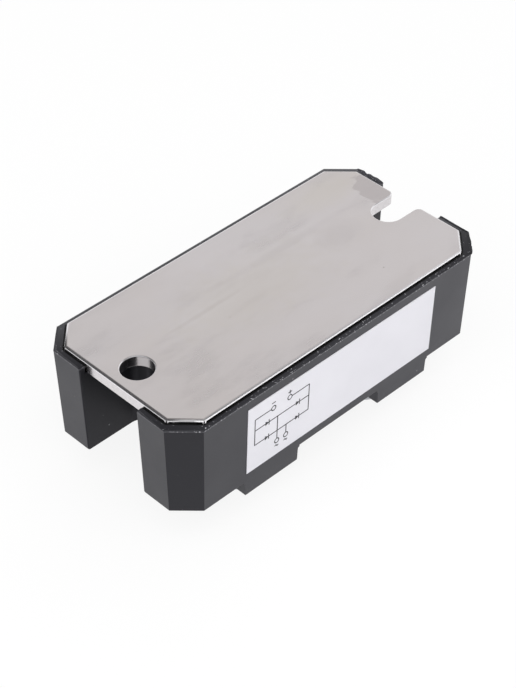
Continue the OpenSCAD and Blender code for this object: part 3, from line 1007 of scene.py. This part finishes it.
        self._fin("near_cut", [(cut - x, -y), (-x, cut - y)],
                  [(0, 0.05, 0.01), (0.4, 0.1, 0.03), (0.8, 0.05, 0), (1, 0.06, 0.01)])

    def _fin(self, name: str, corners: Sequence[Span],
             knots: Sequence[tuple[float, float, float]]) -> None:
        """Adds one ragged fin along a stretch of the rim.

        Args:
            name: Which stretch it is.
            corners: The rim's outer edge, walked with the outside on the left.
            knots: Shares of the way, each with the fin's height and overhang in millimetres.
        """
        phase = self.dice.uniform(0, 50)
        run = Outline(corners, self.high.z - self.crown)

        def profile(along: float) -> Span:
            """Height and overhang between the knots, roughened a little.

            Args:
                along: Share of the length.

            Returns:
                Height and overhang, in metres.
            """
            after = next(i for i, knot in enumerate(knots) if knot[0] >= along or knot is knots[-1])
            after = max(after, 1)
            (s0, h0, o0), (s1, h1, o1) = knots[after - 1], knots[after]
            mix = min(max((along - s0) / (s1 - s0), 0.0), 1.0)
            ripple = noise.noise(Vector((along * run.length * self.fin_ripple, phase, 0.0)))
            rough = (1.0 + self.fin_ragged * ripple) * MM
            return (h0 + (h1 - h0) * mix) * rough, (o0 + (o1 - o0) * mix) * rough

        def section(along: float, turn: float) -> Span:
            """Section of the fin: foot inside, top inside, top outside, foot outside.

            Args:
                along: Share of the length.
                turn: Share of the way round.

            Returns:
                Offset outwards and upwards, in metres.
            """
            height, overhang = profile(along)
            return [(-self.fin, -self.fin_foot), (-0.4 * self.fin, height),
                    (overhang, 0.85 * height),
                    (0.6 * overhang - 0.02 * MM, -self.fin_foot)][round(turn * 4)]

        bm = sweep(run, max(24, int(run.length / self.fin_row)), 4, section)
        piece("flash_" + name, bm, Finish.CASE, smooth=50)


@dataclass
class Sticker:
    """The sticker and its printed circuit symbol of a bridge, drawn as thin raised ink.

    The symbol's places and sizes are in millimetres from the sticker's middle, seen upright.
    """

    line: float = 0.23 * MM
    ink: float = 0.012 * MM
    left_bus: float = -23.4
    right_bus: float = -9.4
    lead_row: float = 4.6
    upper_row: float = 1.8
    lower_row: float = -1.9
    minus_at: float = -18.7
    plus_at: float = -14.5
    drops: Span = (-17.55, -15.2)
    drop_foot: float = -4.55
    ring: float = 0.55
    diodes: Span = (-20.3, -12.4)
    diode: float = 0.62
    diode_back: float = 0.1
    bar_at: float = 0.52
    sign_above: float = 1.35
    sign_below: float = 1.25
    arm: float = 0.42
    wave: float = 0.2

    def build(self) -> None:
        """Dresses the sticker, and draws the symbol flat before laying it on."""
        dress("label", Finish.STICKER)
        bm = bmesh.new()
        self._wires(bm)
        for row in (self.upper_row, self.lower_row):
            for at in self.diodes:
                self._diode(bm, at, row)
        for at, row in self._ends():
            self._ring(bm, at, row)
        self._signs(bm)
        bmesh.ops.transform(bm, matrix=self._plane(), verts=bm.verts)
        piece("circuit_symbol", bm, Finish.PRINT, smooth=20)

    def _ends(self) -> list[Span]:
        """Places of the four open terminal rings."""
        return [(self.minus_at, self.lead_row), (self.plus_at, self.lead_row),
                (self.drops[0], self.drop_foot), (self.drops[1], self.drop_foot)]

    def _wires(self, bm: bmesh.types.BMesh) -> None:
        """Draws the two buses, the two rows, the leads and the drops.

        Args:
            bm: The mesh that they are added to.
        """
        for bus in (self.left_bus, self.right_bus):
            self._stroke(bm, (bus, self.lead_row), (bus, self.lower_row))
        for row in (self.upper_row, self.lower_row):
            self._stroke(bm, (self.left_bus, row), (self.right_bus, row))
        self._stroke(bm, (self.left_bus, self.lead_row), (self.minus_at - self.ring, self.lead_row))
        self._stroke(bm, (self.plus_at + self.ring, self.lead_row), (self.right_bus, self.lead_row))
        for at, row in zip(self.drops, (self.upper_row, self.lower_row)):
            self._stroke(bm, (at, row), (at, self.drop_foot + self.ring))

    def _signs(self, bm: bmesh.types.BMesh) -> None:
        """Draws plus, minus and the two waves beside the rings.

        Args:
            bm: The mesh that they are added to.
        """
        above, below = self.lead_row + self.sign_above, self.drop_foot - self.sign_below
        for at in (self.plus_at, self.minus_at):
            self._stroke(bm, (at - self.arm, above), (at + self.arm, above))
        self._stroke(bm, (self.plus_at, above - self.arm), (self.plus_at, above + self.arm))
        for at in self.drops:
            knots = [(at + self.arm * t / 2, below - self.wave * math.sin(math.pi * t / 2))
                     for t in (-2, -1, 0, 1, 2)]
            for a, b in zip(knots, knots[1:]):
                self._stroke(bm, a, b)

    def _stroke(self, bm: bmesh.types.BMesh, a: Span, b: Span) -> None:
        """Draws a straight line of ink.

        Args:
            bm: The mesh that it is added to.
            a: Where it starts.
            b: Where it ends.
        """
        start, end = Vector((*a, 0.0)) * MM, Vector((*b, 0.0)) * MM
        along = end - start
        turn = Matrix.Rotation(math.atan2(along.y, along.x), 4, "Z")
        size = Matrix.Diagonal((along.length + self.line / 2, self.line, self.ink, 1.0))
        bmesh.ops.create_cube(bm, size=1.0,
                              matrix=Matrix.Translation((start + end) / 2) @ turn @ size)

    def _ring(self, bm: bmesh.types.BMesh, at: float, row: float) -> None:
        """Draws an open ring of ink.

        Args:
            bm: The mesh that it is added to.
            at: Where its middle is, across the sticker.
            row: Where its middle is, up the sticker.
        """
        centre = Vector((at, row, 0.0)) * MM
        outer = self.ring * MM + self.line / 2
        corners = [(outer, -1), (outer, 1), (outer - self.line, 1), (outer - self.line, -1)]
        verts = [bm.verts.new(centre + Vector((r, 0.0, h * self.ink / 2))) for r, h in corners]
        edges = [bm.edges.new((verts[i], verts[(i + 1) % 4])) for i in range(4)]
        bmesh.ops.spin(bm, geom=verts + edges, cent=centre, axis=(0, 0, 1), angle=math.tau,
                       steps=32, use_merge=True)

    def _diode(self, bm: bmesh.types.BMesh, at: float, row: float) -> None:
        """Draws a diode, its filled triangle pointing at its bar.

        Args:
            bm: The mesh that it is added to.
            at: Where its middle is, across the sticker.
            row: Where its middle is, up the sticker.
        """
        radius = self.diode * MM
        bmesh.ops.create_cone(
            bm, cap_ends=True, segments=3, radius1=radius, radius2=radius, depth=self.ink,
            matrix=Matrix.Translation(Vector((at - self.diode_back, row, 0.0)) * MM)
            @ Matrix.Rotation(-math.pi / 2, 4, "Z"))
        bar = at + self.bar_at
        self._stroke(bm, (bar, row - self.diode), (bar, row + self.diode))

    def _plane(self) -> Matrix:
        """The sticker's own plane.

        Returns:
            The matrix that lays what is drawn flat onto the sticker's face.
        """
        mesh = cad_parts["label"].data
        front = max(mesh.polygons, key=lambda p: -p.normal.y * p.area)
        normal = front.normal.copy()
        up = normal.cross(Vector((1.0, 0.0, 0.0))).normalized()
        across = up.cross(normal)
        middle = (lows("label") + highs("label")) / 2
        lift = normal.dot(mesh.vertices[front.vertices[0]].co - middle) + self.ink * 0.6
        turn = Matrix((across, up, normal)).transposed().to_4x4()
        return Matrix.Translation(middle + normal * lift) @ turn


@dataclass
class Electrics:
    """The gel and what it covers, which keep the construction's shapes."""

    sides: tuple[int, ...] = (1, 2)
    chips: tuple[int, ...] = (1, 2, 3, 4)
    poles: tuple[str, ...] = ("plus", "minus")

    def build(self) -> None:
        """Dresses the gel, tiles, pads, chips and links."""
        dress("silicone_gel", Finish.GEL)
        for side in self.sides:
            dress(f"ceramic_{side}", Finish.CERAMIC)
            dress(f"ac_pad_{side}", Finish.COPPER)
        for chip in self.chips:
            dress(f"diode_{chip}", Finish.SILICON)
        for pole in self.poles:
            dress(f"{pole}_link", Finish.COPPER)


@dataclass
class Terminals:
    """The four screw terminals, which keep the construction's shapes."""

    straps: tuple[str, ...] = ("ac_terminal_1", "ac_terminal_2", "plus_terminal", "minus_terminal")
    hardware: tuple[str, ...] = ("terminal_nuts", "terminal_screws", "lock_washers",
                                 "flat_washers")

    def build(self) -> None:
        """Dresses the straps and what holds a cable lug on them."""
        for strap in self.straps:
            dress(strap, Finish.STRAP)
        for group in self.hardware:
            dress(group, Finish.ZINC)


# ---------------------------------------------------------------------------
# Studio
# ---------------------------------------------------------------------------

@dataclass(frozen=True)
class Lamp:
    """A square soft lamp that lights the module but doesn't show in its metal."""

    name: str
    place: Point
    watts: float
    aim: Point = (0.0, 0.0, 0.02)
    size: float = 1.2

    def build(self) -> None:
        """Hangs the lamp."""
        data = bpy.data.lights.new(self.name, "AREA")
        data.shape = "SQUARE"
        data.size = self.size
        data.energy = self.watts
        lamp = bpy.data.objects.new(self.name, data)
        lamp.location = self.place
        lamp.visible_glossy = False
        ahead = Vector(self.aim) - Vector(self.place)
        lamp.rotation_euler = ahead.to_track_quat("-Z", "Y").to_euler()
        bpy.context.scene.collection.objects.link(lamp)


@dataclass(frozen=True)
class Studio:
    """Camera, lamps, pale floor and pale world.

    The world's glow is made of fields that a heading enters from the first to the second
    value of their edge. Headings and heights are parts of a unit vector.
    """

    lens: float = 100.5
    sensor: float = 36.0
    near_clip: float = 0.01
    elevation: float = 40.97
    azimuth: float = 45.5
    distance: float = 0.3659
    aside: float = -0.00203
    above: float = -0.01107
    panel: float = 0.955
    panel_edge: Span = (0.34, 0.60)
    panel_turn: float = -25.0
    back: float = 0.6
    back_edge: Span = (-0.32, -0.16)
    zenith_edge: Span = (0.91, 0.96)
    band: float = 1.0
    band_edge: Span = (0.14, 0.38)
    room: float = 0.08
    behind: float = 0.3
    behind_edge: Span = (-0.95, -0.65)
    veil: float = 0.86
    mirrored_veil: float = 0.6
    floor_tone: Colour = (0.96, 0.96, 0.96, 1)
    floor_rough: float = 0.9
    floor_gloss: float = 0.2
    floor_radius: float = 1.6
    floor_gap: float = 0.02 * MM
    lamps: tuple[Lamp, ...] = (Lamp("left softbox", (-0.74, -0.17, 0.85), 6.4),
                               Lamp("right softbox", (-0.08, -0.76, 0.85), 7.1))

    def build(self) -> None:
        """Sets up camera, lamps, floor and world."""
        bpy.context.scene.view_settings.view_transform = "Standard"
        self._camera(Vector((0.0, 0.0, highs("base_plate").z)))
        self._world()
        self._floor()
        for lamp in self.lamps:
            lamp.build()
        log.info("studio ready")

    def _camera(self, aim: Vector) -> None:
        """Sets up the camera.

        Args:
            aim: Middle of the plate's mounting face.
        """
        up_angle, side_angle = math.radians(self.elevation), math.radians(self.azimuth)
        look = Vector((math.cos(up_angle) * math.cos(side_angle),
                       math.cos(up_angle) * math.sin(side_angle), -math.sin(up_angle)))
        right = Vector((math.sin(side_angle), -math.cos(side_angle), 0.0))
        above = right.cross(look)
        data = bpy.data.cameras.new("camera")
        data.lens = self.lens
        data.sensor_width = self.sensor
        data.clip_start = self.near_clip
        camera = bpy.data.objects.new("camera", data)
        turn = Matrix((right, above, -look)).transposed().to_4x4()
        place = aim - look * self.distance + right * self.aside + above * self.above
        camera.matrix_world = Matrix.Translation(place) @ turn
        bpy.context.scene.collection.objects.link(camera)
        bpy.context.scene.camera = camera

    def _ahead(self, w: NodeWork, heading: Socket, degrees: float) -> Socket:
        """How far a heading points the way of a level direction.

        Args:
            w: The world's nodes.
            heading: The heading.
            degrees: The level direction, turned from the X axis.

        Returns:
            1 straight along it, -1 straight against it.
        """
        angle = math.radians(degrees)
        node = w.nodes.new("ShaderNodeVectorMath")
        node.operation = "DOT_PRODUCT"
        node.inputs[1].default_value = (math.cos(angle), math.sin(angle), 0)
        w.links.new(heading, node.inputs[0])
        return node.outputs["Value"]

    def _glow(self, w: NodeWork) -> Socket:
        """Strength of the world's light in each heading.

        Args:
            w: The world's nodes.

        Returns:
            The brightest of the pale panel, the low band, and the dim back and zenith.
        """
        heading = w.nodes.new("ShaderNodeTexCoord").outputs["Generated"]
        height = w.part(heading, "Z")
        ahead = self._ahead(w, heading, self.azimuth)
        to_panel = self._ahead(w, heading, self.azimuth + self.panel_turn)
        glow = w.product(w.range(height, *self.band_edge, self.band, self.room),
                         w.range(ahead, *self.behind_edge, self.behind, 1))
        for part in (w.range(to_panel, *self.panel_edge, 0, self.panel),
                     w.range(ahead, *self.back_edge, self.back, 0),
                     w.range(height, *self.zenith_edge, 0, self.back)):
            glow = w.maths("MAXIMUM", glow, part)
        return glow

    def _world(self) -> None:
        """Adds the world, which is plain white where the camera sees it."""
        world = bpy.data.worlds.new("pale room")
        bpy.context.scene.world = world
        world.use_nodes = True
        w = NodeWork(world.node_tree)
        light, white = w.nodes["Background"], w.nodes.new("ShaderNodeBackground")
        for background in (light, white):
            background.inputs["Color"].default_value = WHITE
        w.feed(light.inputs["Strength"], self._glow(w))
        rays = w.nodes.new("ShaderNodeLightPath")
        w.show(rays.outputs["Is Camera Ray"], light.outputs["Background"],
               white.outputs["Background"], "World Output")

    def _floor(self) -> None:
        """Adds the pale floor."""
        bm = bmesh.new()
        bmesh.ops.create_circle(bm, cap_ends=True, segments=64, radius=self.floor_radius)
        mesh = bpy.data.meshes.new("floor")
        bm.to_mesh(mesh)
        bm.free()
        mesh.materials.append(self._floor_finish())
        floor = bpy.data.objects.new("floor", mesh)
        floor.location.z = -self.floor_gap
        bpy.context.scene.collection.objects.link(floor)

    def _floor_finish(self) -> bpy.types.Material:
        """A pale matt finish under a white veil that only the camera and metal see.

        Returns:
            The finished material.
        """
        s = Shader("pale floor", self.floor_rough, specular=self.floor_gloss)
        s.shader.inputs["Base Color"].default_value = self.floor_tone
        veil = s.nodes.new("ShaderNodeEmission")
        veil.inputs["Strength"].default_value = 1.0
        rays = s.nodes.new("ShaderNodeLightPath")
        mirrored = s.product(rays.outputs["Is Glossy Ray"], self.mirrored_veil)
        seen = s.maths("MAXIMUM", rays.outputs["Is Camera Ray"], mirrored)
        s.show(s.product(seen, self.veil), s.shader.outputs["BSDF"], veil.outputs["Emission"],
               "Material Output")
        return s.material


def main() -> None:
    """Builds the looks of the module round the frame."""
    logging.basicConfig(level=logging.INFO, format="%(name)s: %(message)s")
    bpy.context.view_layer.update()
    for part in (Studio(), BasePlate(), Case(), Sticker(), Electrics(), Terminals()):
        part.build()


if __name__ == "__main__":
    main()
